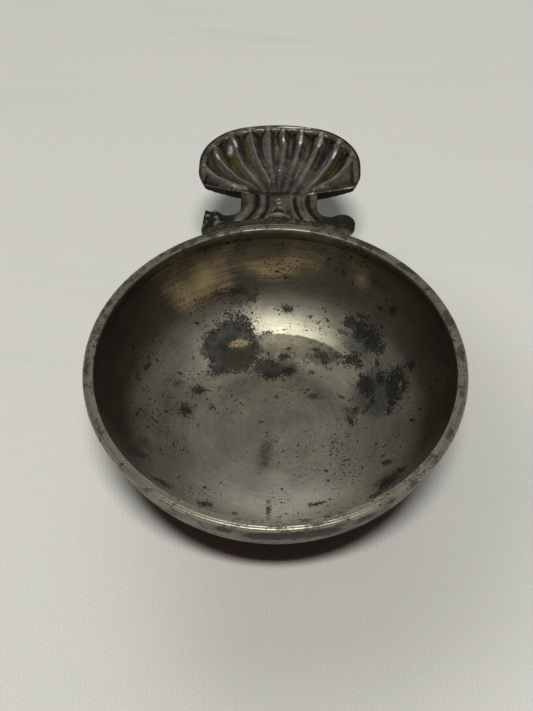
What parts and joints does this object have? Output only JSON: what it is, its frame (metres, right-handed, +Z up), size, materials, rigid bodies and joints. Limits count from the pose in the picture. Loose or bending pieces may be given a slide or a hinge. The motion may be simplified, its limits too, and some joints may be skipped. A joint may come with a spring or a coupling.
{
  "type": "pewter porringer",
  "caption": "Shallow turned metal bowl with a flat base and a lipped rim, carrying a single flat scallop-shell ear on a scrolled base at the rim.",
  "frame": {"origin": "centre of the bowl's flat base, on the face it stands on", "axes": "+Z up along the bowl's axis; +Y from the bowl's axis towards the handle's far edge; +X to the right seen from the bowl's side of the handle"},
  "size_m": [0.125, 0.1784, 0.0418],
  "materials": {
    "turned_pewter": "dark oxidised pewter, turned, worn satin",
    "cast_pewter": "dark oxidised cast pewter, satin, worn bright on the ridges",
    "solder": "dull tin solder"
  },
  "bodies": {
    "root": {"bowl": "turned_pewter", "handle": "cast_pewter", "solder_seam": "solder"}
  },
  "joints": []
}
